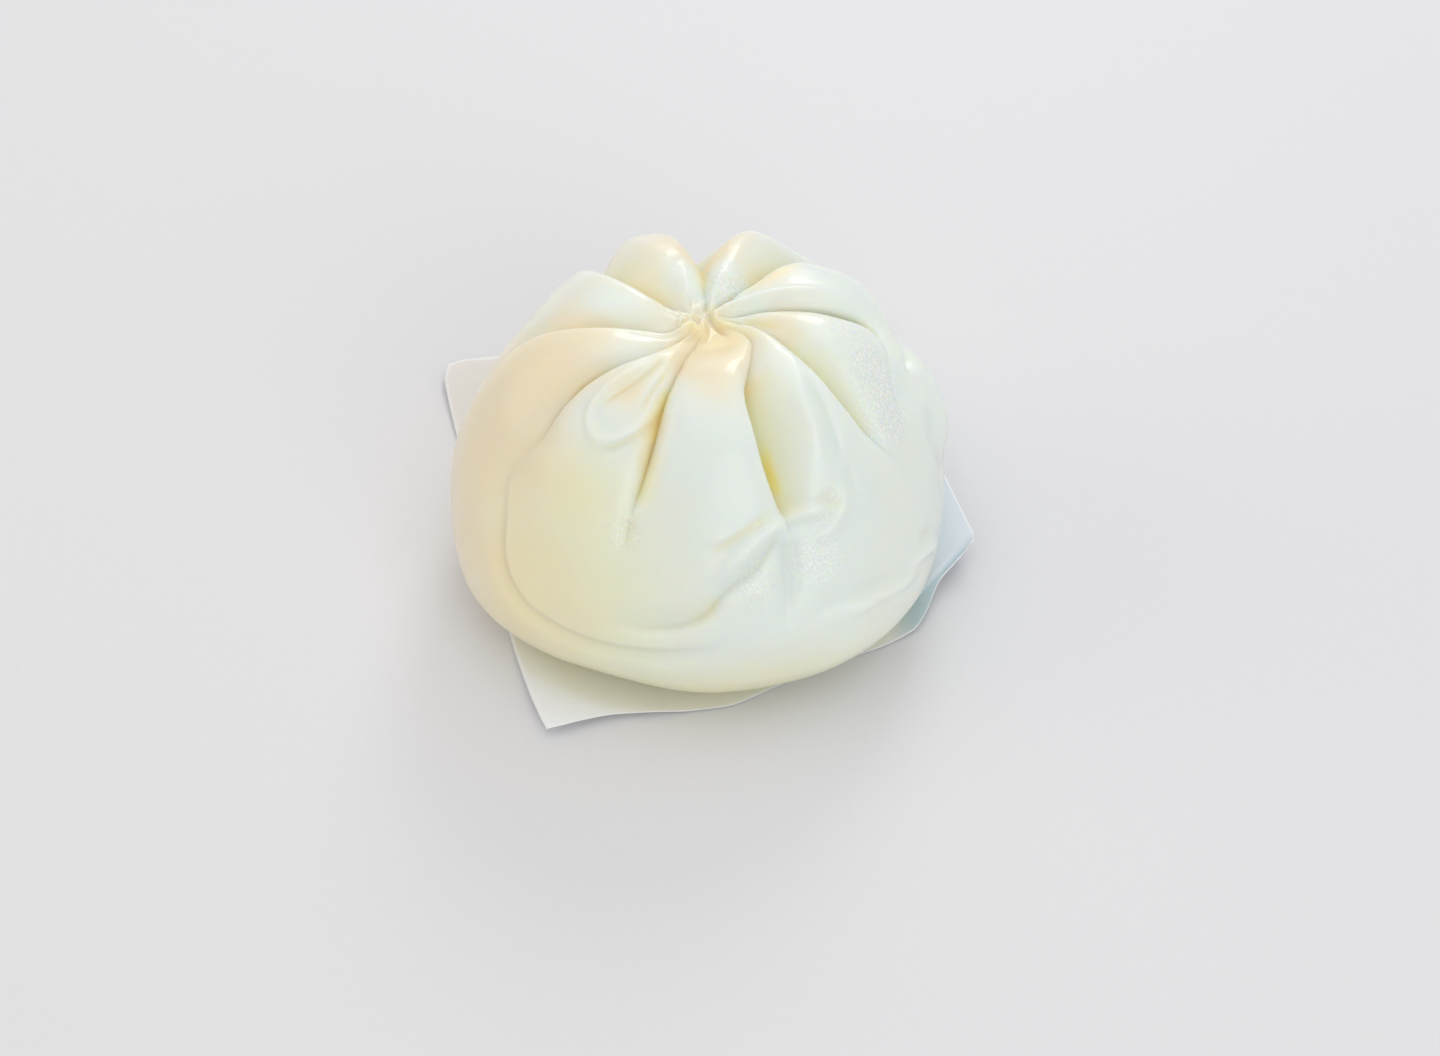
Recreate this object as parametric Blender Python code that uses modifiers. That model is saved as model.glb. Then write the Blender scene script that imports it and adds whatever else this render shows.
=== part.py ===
"""A steamed bun with a pleated top, resting on its sheet of white paper.

The bun is one closed body. It begins as a UV sphere whose rings are laid along the dough's
outline, from the gathered knot on top, over the shoulder and down to the flat underside. Its
meridians follow the pleats, so that each lobe of dough has its own strip of faces, and every
pleat is a valley over which one of its two lobes leans. The smaller folds are strokes drawn
over the dough. The paper is a thin sheet, flat under the bun, with edges that curl up a little.

Sizes are in millimetres and angles in degrees; the meshes are made in metres.
"""
import math
from dataclasses import dataclass

import bmesh
import bpy
import numpy as np

MM = 0.001
COLLECTION = "steamed_bun"

# ---------------------------------------------------------------- the sheet of paper
PAPER_THICKNESS = 0.3
PAPER_CELLS = 18
# The sheet lies off centre, and was cut a little unevenly
BACK_LEFT = (-57.0, 60.0)
FRONT_LEFT = (-30.4, -48.4)
FRONT_RIGHT = (57.2, 1.7)
BACK_RIGHT = (36.0, 77.0)
# How far the front edge, which the bun holds down, bows out between its two corners
FRONT_BOW = 15.0
# The sheet is flat out to this radius, and its corners then curl up by these heights
FLAT_RADIUS = 41.0
LIFT_BACK_LEFT = 2.5
LIFT_FRONT_LEFT = 3.0
LIFT_FRONT_RIGHT = 6.0
LIFT_BACK_RIGHT = 3.0

# ---------------------------------------------------------------- the plain dough
GAP = 0.3
REST = PAPER_THICKNESS + GAP
# Radius and height of the outline, from the knot down to the edge of the flat underside
OUTLINE = (
    (0.0, 59.0), (6.0, 59.4), (13.0, 60.8), (20.0, 61.0), (27.0, 58.8),
    (33.0, 54.8), (38.0, 49.9), (43.4, 42.4), (48.0, 34.0), (50.4, 26.0),
    (51.0, 19.0), (50.3, 12.5), (48.0, 7.0), (44.0, 3.0), (38.0, REST),
)
# The knot sits off the middle, and the dough's centre line leans to it between these heights
KNOT_X, KNOT_Y = 0.5, 9.0
LEAN_FROM, LEAN_TO = 8.0, 60.0
# The bun is a little less deep than wide, in front more than behind
BACK_SHARE = 0.94
FRONT_SHARE = 0.915

# ---------------------------------------------------------------- the mesh
COLUMNS = 100
ROWS = 40
UNDER_ROWS = 3
HEM = 97.0
# Pleats grow out of the knot over about this length
KNOT_LENGTH = 9.0


@dataclass
class Pleat:
    """A valley from the knot down the side, and the lobe of dough that follows it anticlockwise.

    s is the length along the outline from the knot. path gives the pleat's azimuth at lengths s,
    depth its depth and puff how far the lobe swells. peak is where the lobe is highest, from 0 at
    this pleat to 1 at the next. lip is the width of the round edge that covers the pleat, and
    flank that of the slope on the covered side. With lean above 0 the anticlockwise lobe covers
    the pleat, with lean below 0 the clockwise one, and with 0 both are round.
    """
    path: tuple
    depth: tuple
    lip: float
    flank: float
    lean: float
    puff: tuple
    peak: float = 0.5


@dataclass
class Fold:
    """A smaller crease, or a ridge where depth is below 0, along a route of (azimuth, s).

    left and right are its widths to either side, seen from outside, and fade gives the shares of
    its length over which the two ends run out.
    """
    route: tuple
    depth: float
    left: float
    right: float
    fade: tuple = (0.25, 0.35)


PLEATS = (
    # right
    Pleat(path=((0, 24), (7, 12), (13, 6.5), (19, 4.5), (26, 5), (33, 6.5), (36.5, 4.5),
                (39.5, -3), (42.5, -11), (46, -16), (56, -17)),
          depth=((0, 0), (10, 0.7), (20, 1.2), (29, 2.6), (35, 2.0), (39, 0.8), (46, 0)),
          lip=4, flank=5, lean=0.7,
          puff=((0, 0), (14, 1.5), (27, 2.0), (36, 1.2), (45, 0.4), (56, 0)), peak=0.4),
    # back right
    Pleat(path=((0, 64), (8, 63), (18, 56.5), (28, 51.5), (40, 45), (60, 38)),
          depth=((0, 0), (10, 1.4), (24, 6.2), (34, 7.0), (42, 3), (50, 0)),
          lip=4.5, flank=11, lean=-0.5,
          puff=((0, 0), (18, 2.6), (50, 2.5), (80, 0))),
    # back
    Pleat(path=((0, 80), (10, 87), (26, 92), (60, 97)),
          depth=((0, 0), (8, 1), (15, 2.6), (21, 6), (27, 11), (34, 12), (46, 7), (70, 0)),
          lip=6, flank=7.5, lean=0.0,
          puff=((0, 0), (18, 2.6), (50, 2.2), (80, 0))),
    # back left
    Pleat(path=((0, 140), (8, 138), (16, 137), (24, 134.5), (34, 129), (46, 123), (70, 120)),
          depth=((0, 0), (8, 4), (20, 7.0), (36, 7.6), (50, 5), (72, 0)),
          lip=6, flank=8, lean=0.6,
          puff=((0, 0), (14, 2.2), (24, 1.0), (34, 0.2), (46, 0), (70, 0)), peak=0.4),
    # left
    Pleat(path=((0, 214), (6, 207), (12, 194), (20, 187), (28, 180.5), (36, 176), (60, 172)),
          depth=((0, 0), (6, 1.6), (16, 2.6), (30, 2.0), (44, 1.0), (56, 0)),
          lip=3, flank=5, lean=0.8,
          puff=((0, 0), (24, 2.0), (46, 2.6), (80, 0)), peak=0.4),
    # front left
    Pleat(path=((0, 244), (8, 237), (16, 229), (25, 219), (31, 216.5), (42, 216.5), (60, 211)),
          depth=((0, 0), (16, 0.5), (21, 1.0), (26, 2.8), (30, 2.9), (35, 1.5), (42, 0.7), (48, 0)),
          lip=4, flank=5, lean=0.5,
          puff=((0, 0), (24, 2.0), (44, 2.0), (66, 0))),
    # left slot
    Pleat(path=((0, 285), (6, 265), (10, 258.5), (15, 256), (26, 253.5), (40, 253), (60, 250)),
          depth=((0, 0), (10, 1.0), (20, 2.4), (33, 4.2), (44, 2.4), (51, 0)),
          lip=4, flank=5, lean=0.0,
          puff=((0, 0), (8, 0.3), (18, 2.0), (36, 3.2), (56, 1.5), (72, 0)), peak=0.6),
    # right slot
    Pleat(path=((0, 350), (8, 338), (12, 325), (16, 309), (21, 298.5), (28, 293.6), (50, 293)),
          depth=((0, 0), (15, 0.6), (20, 2.4), (25, 6.6), (31, 9.0), (38, 8), (46, 3), (53, 0)),
          lip=4, flank=12, lean=-0.7,
          puff=((0, 0), (20, 2.0), (36, 3.2), (56, 1.0), (68, 0)), peak=0.62),
    # front right
    Pleat(path=((0, 375), (8, 354), (14, 340), (22, 331), (28, 329), (40, 328.5), (56, 332)),
          depth=((0, 0), (12, 1.2), (22, 3.2), (32, 5.0), (40, 3.4), (50, 0)),
          lip=5, flank=5, lean=-0.5,
          puff=((0, 0), (20, 2.2), (32, 3.0), (40, 1.8), (48, 0.5), (56, 0))),
)

FOLDS = (
    # the step low on the front left, where the upper dough bulges over the rim
    Fold(route=((210, 48), (215, 60), (226, 72.4), (249, 75), (263, 73.8), (281, 70)),
         depth=1.4, left=4, right=5, fade=(0.25, 0.25)),
    # the long crease from the front left up to the right slot
    Fold(route=((246, 69.3), (257, 69.3), (266, 67.8), (275, 61.5), (284, 57), (294, 50.5)),
         depth=1.6, left=7, right=4, fade=(0.35, 0.15)),
    # the ridge that closes the right slot, and the crease below it
    Fold(route=((272, 60), (280, 55.6), (289, 52), (300, 51), (310, 52.6)),
         depth=-1.2, left=4.5, right=4.5, fade=(0.3, 0.25)),
    Fold(route=((291, 52), (291, 61), (289.5, 73)), depth=1.4, left=5, right=5.5, fade=(0.15, 0.6)),
    # the tongue tucked in at the front left: its rim, and its hollow middle
    Fold(route=((237, 18.7), (230, 28), (231.5, 34.8), (240, 36.6), (249, 31.8), (251.7, 25)),
         depth=-1.0, left=4, right=4, fade=(0.2, 0.2)),
    Fold(route=((245, 15), (240, 26), (238, 31)), depth=1.0, left=4.5, right=4, fade=(0.3, 0.3)),
    # the point in which the right-hand lobe ends, and the dimple in front of it
    Fold(route=((359, 44.2), (364.6, 44.2), (371, 42.2), (376, 41.6)),
         depth=2.0, left=4, right=4.5, fade=(0.1, 0.35)),
    Fold(route=((354, 51.5), (348.4, 56), (352, 64)), depth=0.8, left=4.5, right=4, fade=(0.4, 0.3)),
    # the ridge low on the front right, with a groove above it
    Fold(route=((301.5, 70), (314.8, 71), (331.6, 74), (342, 75)), depth=-0.9, left=4, right=4),
    Fold(route=((290, 70.5), (302, 67), (316, 66), (336, 68)), depth=0.7, left=5, right=4),
    # two soft creases low on the back
    Fold(route=((74, 48), (70, 62), (72, 74)), depth=1.4, left=6, right=7),
    Fold(route=((128, 46), (130, 60), (124, 75)), depth=1.4, left=7, right=6),
)

# Rises and hollows wider than a fold: azimuth, s, height and radius
SWELLINGS = (
    # the right side bulges below the right-hand lobe, with hollows round it
    (6, 53, 3.4, 12),
    (20, 49, -1.6, 7),
    (30, 37, 1.7, 9),
    # the back lobes
    (68, 34, 0.8, 8),
    (108, 32, -0.8, 8),
    (152, 47, -1.2, 9),
    # the rim, which is drawn in at the front
    (248, 89, -2.3, 17),
    (284, 89, -0.7, 14),
    (352, 77, -0.8, 14),
    # the basin in front of the knot
    (305, 6.5, -1.5, 6.4),
)


# ---------------------------------------------------------------- curves and steps
def smooth(x, low=0.0, high=1.0):
    """Ease from 0 at low to 1 at high."""
    x = np.clip((x - low) / (high - low), 0, 1)
    return x * x * (3 - 2 * x)


def hermite(stations, values, slopes, x):
    """Cubic curve through values at stations, with the given slopes there."""
    span = np.clip(np.searchsorted(stations, x, side="right") - 1, 0, len(stations) - 2)
    step = stations[span + 1] - stations[span]
    t = (x - stations[span]) / step
    return (values[span] * (1 + 2 * t) * (1 - t) ** 2
            + values[span + 1] * t * t * (3 - 2 * t)
            + step * (slopes[span] * t * (1 - t) ** 2 - slopes[span + 1] * t * t * (1 - t)))


def eased(pairs, x):
    """Smooth curve through (station, value) pairs that never overshoots them."""
    stations, values = np.array(pairs, float).T
    step = np.diff(stations)
    rise = np.diff(values) / step
    slopes = np.zeros_like(values)
    for i in range(1, len(stations) - 1):
        if rise[i - 1] * rise[i] > 0:
            before = 2 * step[i] + step[i - 1]
            after = step[i] + 2 * step[i - 1]
            slopes[i] = (before + after) / (before / rise[i - 1] + after / rise[i])
    return hermite(stations, values, slopes, np.clip(x, stations[0], stations[-1]))


def through(points, count):
    """Smooth curve through points, as count points evenly spread along it."""
    points = np.array(points, float)
    along = np.concatenate([[0], np.cumsum(np.linalg.norm(np.diff(points, axis=0), axis=1))])
    places = np.linspace(0, along[-1], count)
    if len(points) == 2:
        return np.stack([np.interp(places, along, column) for column in points.T], -1)
    return np.stack([hermite(along, column, np.gradient(column, along), places)
                     for column in points.T], -1)


def dough_outline():
    """The outline as arrays (s, radius, height), carried on flat to the middle underneath."""
    radius, height = through(OUTLINE, 400).T
    flat = np.linspace(radius[-1], 0, 40)[1:]
    radius = np.concatenate([radius, flat])
    height = np.concatenate([height, np.full(len(flat), height[-1])])
    s = np.concatenate([[0], np.cumsum(np.hypot(np.diff(radius), np.diff(height)))])
    return s, radius, height


OUTLINE_S, OUTLINE_RADIUS, OUTLINE_HEIGHT = dough_outline()
UNDER_MIDDLE = OUTLINE_S[-1]


# ---------------------------------------------------------------- the dough's surface
def plain_point(azimuth, s):
    """A point of the dough before its pleats, azimuth in radians."""
    radius = np.interp(s, OUTLINE_S, OUTLINE_RADIUS)
    height = np.interp(s, OUTLINE_S, OUTLINE_HEIGHT)
    lean = smooth(height, LEAN_FROM, LEAN_TO)
    share = np.where(np.sin(azimuth) > 0, BACK_SHARE, FRONT_SHARE)
    return np.stack([KNOT_X * lean + radius * np.cos(azimuth),
                     KNOT_Y * lean + share * radius * np.sin(azimuth), height], -1)


def unit(vectors):
    return vectors / (np.linalg.norm(vectors, axis=-1, keepdims=True) + 1e-12)


def plain_frame(azimuth, s):
    """Directions at a point of the plain dough: anticlockwise round it, and outwards."""
    round_it = unit(plain_point(azimuth + 1e-3, s) - plain_point(azimuth - 1e-3, s))
    down_it = unit(plain_point(azimuth, s + 0.05) - plain_point(azimuth, s - 0.05))
    return round_it, unit(np.cross(down_it, round_it))


def lip_shape(x):
    """The round, covering edge of a valley: 1 at the bottom, a quarter circle up to x = 1."""
    x = np.clip(x, 0, 1)
    return 1 - np.sqrt(np.clip(1 - (1 - x) ** 2, 0, 1))


def flank_shape(x):
    """The slope on the covered side of a valley."""
    x = np.clip(x, 0, 1)
    return (1 - x) ** 2 * (1 + 0.6 * x)


def strips():
    """For each column of the mesh: its lobe, and its place t across that lobe."""
    shoulder = np.array([eased(pleat.path, 26.0) for pleat in PLEATS])
    width = (np.roll(shoulder, -1) - shoulder) % 360
    edges = np.round(np.concatenate([[0], np.cumsum(width)]) / 360 * COLUMNS).astype(int)
    lobe = np.repeat(np.arange(len(PLEATS)), np.diff(edges))
    tau = np.concatenate([np.arange(n) / n for n in np.diff(edges)])
    t = 0.62 * tau + 0.38 * (1 - np.cos(np.pi * tau)) / 2
    return lobe, t


def pleated(row_s, lobe, t):
    """Heights and sideways shifts of the pleats and lobes, with each vertex's azimuth.

    row_s holds one length per vertex, as lobe and t do.
    """
    following = (lobe + 1) % len(PLEATS)
    azimuths = np.radians([eased(pleat.path, row_s) for pleat in PLEATS])
    depths = np.array([eased(pleat.depth, row_s) for pleat in PLEATS])
    depths = depths * (1 - np.exp(-(row_s / KNOT_LENGTH) ** 2))
    puffs = np.array([eased(pleat.puff, row_s) for pleat in PLEATS])
    pick = np.arange(len(lobe))
    start = azimuths[lobe, pick]
    span = (azimuths[following, pick] - start) % (2 * math.pi)
    width = np.interp(row_s, OUTLINE_S, OUTLINE_RADIUS) * span

    peak = np.array([pleat.peak for pleat in PLEATS])[lobe]
    off_peak = np.where(t < peak, (peak - t) / peak, (t - peak) / (1 - peak))
    height = puffs[lobe, pick] * (1 - off_peak ** 2.4)
    shift = np.zeros(len(lobe))
    for index, distance, sign in ((lobe, t * width, 1), (following, (1 - t) * width, -1)):
        lean = np.array([pleat.lean for pleat in PLEATS])[index]
        lip = np.array([pleat.lip for pleat in PLEATS])[index]
        flank = np.array([pleat.flank for pleat in PLEATS])[index]
        end = np.array([pleat.depth[-1][0] for pleat in PLEATS])[index]
        flank = flank * (1 - 0.7 * smooth(row_s, 0.62 * end, end))
        covers = lean * sign >= 0
        reach = np.minimum(np.where(covers, lip, flank), width / 2) + 1e-6
        shape = np.where(covers, lip_shape(distance / reach), flank_shape(distance / reach))
        depth = depths[index, pick] * (row_s < end) * shape
        height -= depth
        shift += lean * depth
    return start + span * t, height, shift


def folded(points, fold):
    """Heights that one fold adds at points of the plain dough."""
    azimuth, s = through(fold.route, 60).T
    azimuth = np.radians(azimuth)
    line = plain_point(azimuth, s)
    outward = plain_frame(azimuth, s)[1]
    left = np.cross(outward, unit(np.gradient(line, axis=0)))
    away = points[:, None, :] - line[None]
    nearest = np.argmin((away ** 2).sum(-1), axis=1)
    away = away[np.arange(len(points)), nearest]
    distance = np.linalg.norm(away, axis=1)
    side = np.where((away * left[nearest]).sum(1) >= 0, 1, -1)
    place = nearest / (len(line) - 1)
    strength = smooth(place, 0, fold.fade[0]) * (1 - smooth(place, 1 - fold.fade[1], 1))
    x = distance / np.where(side > 0, fold.left, fold.right)
    shape = np.exp(-(1.7 * x) ** 2) if fold.depth < 0 else flank_shape(x)
    return -strength * fold.depth * shape


def swollen(points):
    """Heights that the swellings add at points of the plain dough."""
    height = np.zeros(len(points))
    for azimuth, s, rise, radius in SWELLINGS:
        away = points - plain_point(np.radians(azimuth), s)
        height += rise * np.exp(-(away ** 2).sum(1) / radius ** 2)
    return height


def dough_points(row, column):
    """Points of the finished dough for ring numbers row and meridian numbers column."""
    upper = ROWS - UNDER_ROWS
    s = np.where(row <= upper, HEM * row / upper,
                 HEM + (UNDER_MIDDLE - HEM) * (row - upper) / UNDER_ROWS)
    lobe, t = strips()
    azimuth, height, shift = pleated(s, lobe[column], t[column])
    plain = plain_point(azimuth, s)
    round_it, outward = plain_frame(azimuth, np.clip(s, 0.1, UNDER_MIDDLE - 0.1))
    for fold in FOLDS:
        height += folded(plain, fold)
    height += swollen(plain)
    shaped = (row > 0) & (row < upper)
    points = plain + outward * (height * shaped)[:, None] + round_it * (shift * shaped)[:, None]
    points[:, 2] = np.maximum(points[:, 2], REST)
    return points


# ---------------------------------------------------------------- the paper's surface
def paper_points(u, v):
    """Points of the sheet's underside, u from 0 at the left edge, v from 0 at the front."""
    front = np.outer(1 - u, FRONT_LEFT) + np.outer(u, FRONT_RIGHT)
    back = np.outer(1 - u, BACK_LEFT) + np.outer(u, BACK_RIGHT)
    bow = FRONT_BOW * np.sin(np.pi * u ** 1.6) * (1 - v) ** 2
    plan = front * (1 - v)[:, None] + back * v[:, None]
    plan = plan + bow[:, None] * np.array([0.3, -1.0])
    lift = (LIFT_FRONT_LEFT * (1 - u) * (1 - v) + LIFT_FRONT_RIGHT * u * (1 - v)
            + LIFT_BACK_LEFT * (1 - u) * v + LIFT_BACK_RIGHT * u * v)
    radius = np.hypot(plan[:, 0], plan[:, 1])
    height = lift * smooth(radius, FLAT_RADIUS, FLAT_RADIUS + 20)
    return np.column_stack([plan, height])


# ---------------------------------------------------------------- Blender objects
def material(name, colour, roughness):
    surface = bpy.data.materials.new(name)
    surface.use_nodes = True
    shader = surface.node_tree.nodes["Principled BSDF"]
    shader.inputs["Base Color"].default_value = (*colour, 1)
    shader.inputs["Roughness"].default_value = roughness
    shader.inputs["Metallic"].default_value = 0
    return surface


def add_object(name, shape, surface, collection):
    """Turn a bmesh into a named object with its material."""
    mesh = bpy.data.meshes.new(name)
    shape.to_mesh(mesh)
    shape.free()
    mesh.materials.append(surface)
    made = bpy.data.objects.new(name, mesh)
    collection.objects.link(made)
    return made


def make_bun(collection):
    """A UV sphere whose rings and meridians are moved onto the dough."""
    shape = bmesh.new()
    bmesh.ops.create_uvsphere(shape, u_segments=COLUMNS, v_segments=ROWS, radius=1)
    at = np.array([vertex.co for vertex in shape.verts])
    row = np.round(np.arccos(np.clip(at[:, 2], -1, 1)) / math.pi * ROWS).astype(int)
    turn = np.arctan2(at[:, 1], at[:, 0]) / (2 * math.pi)
    column = np.round(turn * COLUMNS).astype(int) % COLUMNS
    for vertex, point in zip(shape.verts, dough_points(row, column)):
        vertex.co = point * MM
    bmesh.ops.triangulate(shape, faces=shape.faces[:])
    dough = material("dough", (0.80, 0.78, 0.68), 0.4)
    return add_object("bun", shape, dough, collection)


def make_paper(collection):
    """A grid bent to the sheet's shape and given its thickness."""
    shape = bmesh.new()
    bmesh.ops.create_grid(shape, x_segments=PAPER_CELLS, y_segments=PAPER_CELLS, size=0.5)
    at = np.array([vertex.co for vertex in shape.verts])
    for vertex, point in zip(shape.verts, paper_points(at[:, 0] + 0.5, at[:, 1] + 0.5)):
        vertex.co = point * MM
    white = material("paper", (0.85, 0.86, 0.87), 0.7)
    sheet = add_object("paper", shape, white, collection)
    thickness = sheet.modifiers.new("thickness", "SOLIDIFY")
    thickness.thickness = PAPER_THICKNESS * MM
    thickness.offset = 1
    return sheet


def main():
    for old in list(bpy.data.objects):
        bpy.data.objects.remove(old)
    collection = bpy.data.collections.new(COLLECTION)
    bpy.context.scene.collection.children.link(collection)
    make_bun(collection)
    make_paper(collection)


main()
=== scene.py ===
"""A large steamed bun of white dough, pleated round a knot on top, on its sheet of white paper.

Lengths in the form functions are in millimetres. Azimuth 0 is +X, 90 is the back and 270 the front,
and a station s is the distance along the dome from the knot, straight down the side of the bun."""
import math

import bpy
import numpy as np
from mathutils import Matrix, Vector


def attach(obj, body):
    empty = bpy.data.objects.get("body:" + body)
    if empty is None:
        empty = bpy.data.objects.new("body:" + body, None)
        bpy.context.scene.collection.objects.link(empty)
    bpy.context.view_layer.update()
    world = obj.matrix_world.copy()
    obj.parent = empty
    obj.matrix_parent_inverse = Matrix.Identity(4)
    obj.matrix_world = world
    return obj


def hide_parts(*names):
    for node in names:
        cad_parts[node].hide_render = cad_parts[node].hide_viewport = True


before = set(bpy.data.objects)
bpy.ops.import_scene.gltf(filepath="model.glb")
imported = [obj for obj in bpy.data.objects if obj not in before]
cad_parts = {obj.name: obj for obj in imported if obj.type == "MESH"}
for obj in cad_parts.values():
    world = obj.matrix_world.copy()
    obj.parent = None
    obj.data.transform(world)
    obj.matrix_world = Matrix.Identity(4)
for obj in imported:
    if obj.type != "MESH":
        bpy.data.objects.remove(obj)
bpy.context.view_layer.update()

MM = 0.001

# The plain dome: radius and height from the knot down to the foot.
OUTLINE = (
    (0, 59.0), (6, 59.4), (13, 60.8), (20, 61.0), (27, 58.8), (33, 54.8), (38, 49.9), (43.4, 42.4),
    (48, 34), (50.4, 26), (51.0, 19), (50.3, 12.5), (48, 7), (44, 3.0), (38, 0.6),
)
# Where the knot is, the heights between which the dome leans towards it, how deep its back and front
# halves are for their width, and how low the skin may lie.
KNOT = (0.5, 9.0)
KNOT_FROM, KNOT_TO = 8, 60
BACK_SHARE, FRONT_SHARE = 0.94, 0.915
REST = 0.6
# The mesh: columns round it and, from the knot down, stations and rows to each; down to CROWN it has only
# every second column.
COLUMNS, CROWN = 556, 14
ROWS = ((0, 0), (CROWN, 46), (84, 182), (150, 200))
# How often the skin is softened, how strongly at the knot, and how much is added between two stations.
SOFTEN_ROUNDS, SOFTEN_KNOT, SOFTEN_MORE, SOFTEN_FROM, SOFTEN_TO = 3, 0.15, 0.45, 6, 16
# Unevenness of the skin: height, length and seed of its broad and of its finer waves.
UNEVEN = ((0.25, 34.0, 3), (0.05, 10.0, 5))
# The pleats gain their depth over KNOT_FADE. A flank narrows by FLANK_CUT from share FLANK_FROM of its
# pleat's length to the end.
KNOT_FADE = 8.0
FLANK_FROM, FLANK_CUT = 0.55, 0.6
# Pleat depths between which a crease takes on its painted yellow shade, and the power by which a lobe falls
# off from its peak.
YELLOW_FROM, YELLOW_TO = 0.6, 4.0
LOBE_POWER = 2.4
# A ridge's outline: how steeply it falls off and how many of its widths it reaches.
RIDGE_STEEP, RIDGE_REACH = 1.7, 1.6
# Columns are shared out by the lobes' widths at LOBE_STATION, closer at the front and near the creases.
LOBE_STATION, FRONT_CLOSER, CREASE_CLOSER = 26.0, 0.45, 0.38

# Pleats in order of azimuth. path: azimuth at stations; depth: mm at stations; lip and flank: width of
# the covering and of the covered side; lean: how far the crease slips under (positive: the lobe
# anticlockwise of it covers); puff: how far that lobe swells at stations, highest at share peak.
# yellow: how much painted shade yellows each pleat's crease.
PLEATS = (
    dict(name="right", path=((0, 24), (7, 12), (13, 6.5), (19, 4.5), (26, 5), (33, 6.5), (36.5, 4.5),
                             (39.5, -3), (42.5, -11), (46, -16), (56, -17)),
         depth=((0, 0), (10, 0.7), (20, 1.2), (29, 2.6), (35, 2.0), (39, 0.8), (46, 0)), lip=2.5,
         flank=4.5, lean=0.7, puff=((0, 0), (14, 1.5), (27, 2.0), (36, 1.2), (45, 0.4), (56, 0)), peak=0.4,
         yellow=0.35),
    dict(name="right_back", path=((0, 57), (5, 51), (9, 49.5), (14, 50.5), (20, 52), (28, 50.5), (40, 45),
                                  (60, 38)),
         depth=((0, 0), (10, 1.4), (24, 6.2), (34, 7.0), (42, 3), (50, 0)), lip=4.5, flank=11, lean=-0.5,
         puff=((0, 0), (18, 2.6), (50, 2.5), (80, 0)), peak=0.5, yellow=0.6),
    dict(name="back", path=((0, 80), (10, 87), (26, 92), (60, 97)),
         depth=((0, 0), (8, 1.0), (15, 2.6), (21, 6), (27, 11), (34, 12), (46, 7), (70, 0)), lip=6,
         flank=12, lean=0.1, puff=((0, 0), (18, 2.6), (50, 2.2), (80, 0)), peak=0.5, yellow=0.7),
    dict(name="left_back", path=((0, 140), (8, 138), (16, 137), (24, 134.5), (34, 129), (46, 123),
                                 (70, 120)),
         depth=((0, 0), (8, 4), (20, 7.0), (36, 7.6), (50, 5), (72, 0)), lip=6, flank=8, lean=0.6,
         puff=((0, 0), (14, 2.2), (24, 1.0), (34, 0.2), (46, 0.0), (70, 0)), peak=0.4, yellow=0.6),
    dict(name="left", path=((0, 214), (6, 207), (12, 194), (20, 187), (28, 180.5), (36, 176), (60, 172)),
         depth=((0, 0), (6, 1.6), (16, 2.6), (30, 2.0), (44, 1.0), (56, 0)), lip=3, flank=5, lean=0.8,
         puff=((0, 0), (24, 2.0), (46, 2.6), (80, 0)), peak=0.4, yellow=0.5),
    dict(name="left_front", path=((0, 244), (8, 237), (16, 229), (25, 219), (31, 216.5), (36, 216),
                                  (42, 216.5), (47, 214), (60, 211)),
         depth=((0, 0), (16, 0.5), (21, 1.0), (26, 2.4), (30, 2.5), (35, 1.2), (42, 0.6), (48, 0)),
         lip=2.2, flank=3, lean=0.5, puff=((0, 0), (24, 2.0), (44, 2.0), (66, 0)), peak=0.5, yellow=0.8),
    dict(name="slot_left", path=((0, 285), (6, 265), (10, 258.5), (15, 256), (20, 254.8), (26, 253.4),
                                 (33, 253.6), (40, 253), (48, 251.6), (60, 250)),
         depth=((0, 0), (10, 0.6), (20, 1.6), (33, 3.1), (44, 2.2), (51, 0)), lip=3.3, flank=5, lean=0.0,
         puff=((0, 0), (8, 0.3), (18, 2.0), (36, 3.2), (56, 1.5), (72, 0)), peak=0.6, yellow=1.0),
    dict(name="slot_right", path=((0, 350), (8, 338), (12, 325), (16, 309), (21, 298.5), (28, 293.6),
                                  (38, 292.7), (50, 293.6)),
         depth=((0, 0), (8, 0.2), (15, 0.4), (20, 1.5), (25, 5.8), (31, 9.2), (38, 9.0), (46, 4.5),
                (54, 0)), lip=3.4, flank=11, lean=-0.7,
         puff=((0, 0), (20, 2.0), (36, 3.2), (56, 1.0), (68, 0)), peak=0.62, yellow=0.8),
    dict(name="right_front", path=((0, 375), (8, 354), (14, 340), (22, 331), (28, 329), (34, 328),
                                   (40, 328.5), (46, 330), (56, 332)),
         depth=((0, 0), (12, 1.2), (22, 3.2), (32, 5.0), (40, 3.4), (50, 0)), lip=5, flank=4.5, lean=-0.5,
         puff=((0, 0), (20, 2.2), (32, 3.0), (40, 1.8), (48, 0.5), (56, 0)), peak=0.5, yellow=0.6),
)
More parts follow.
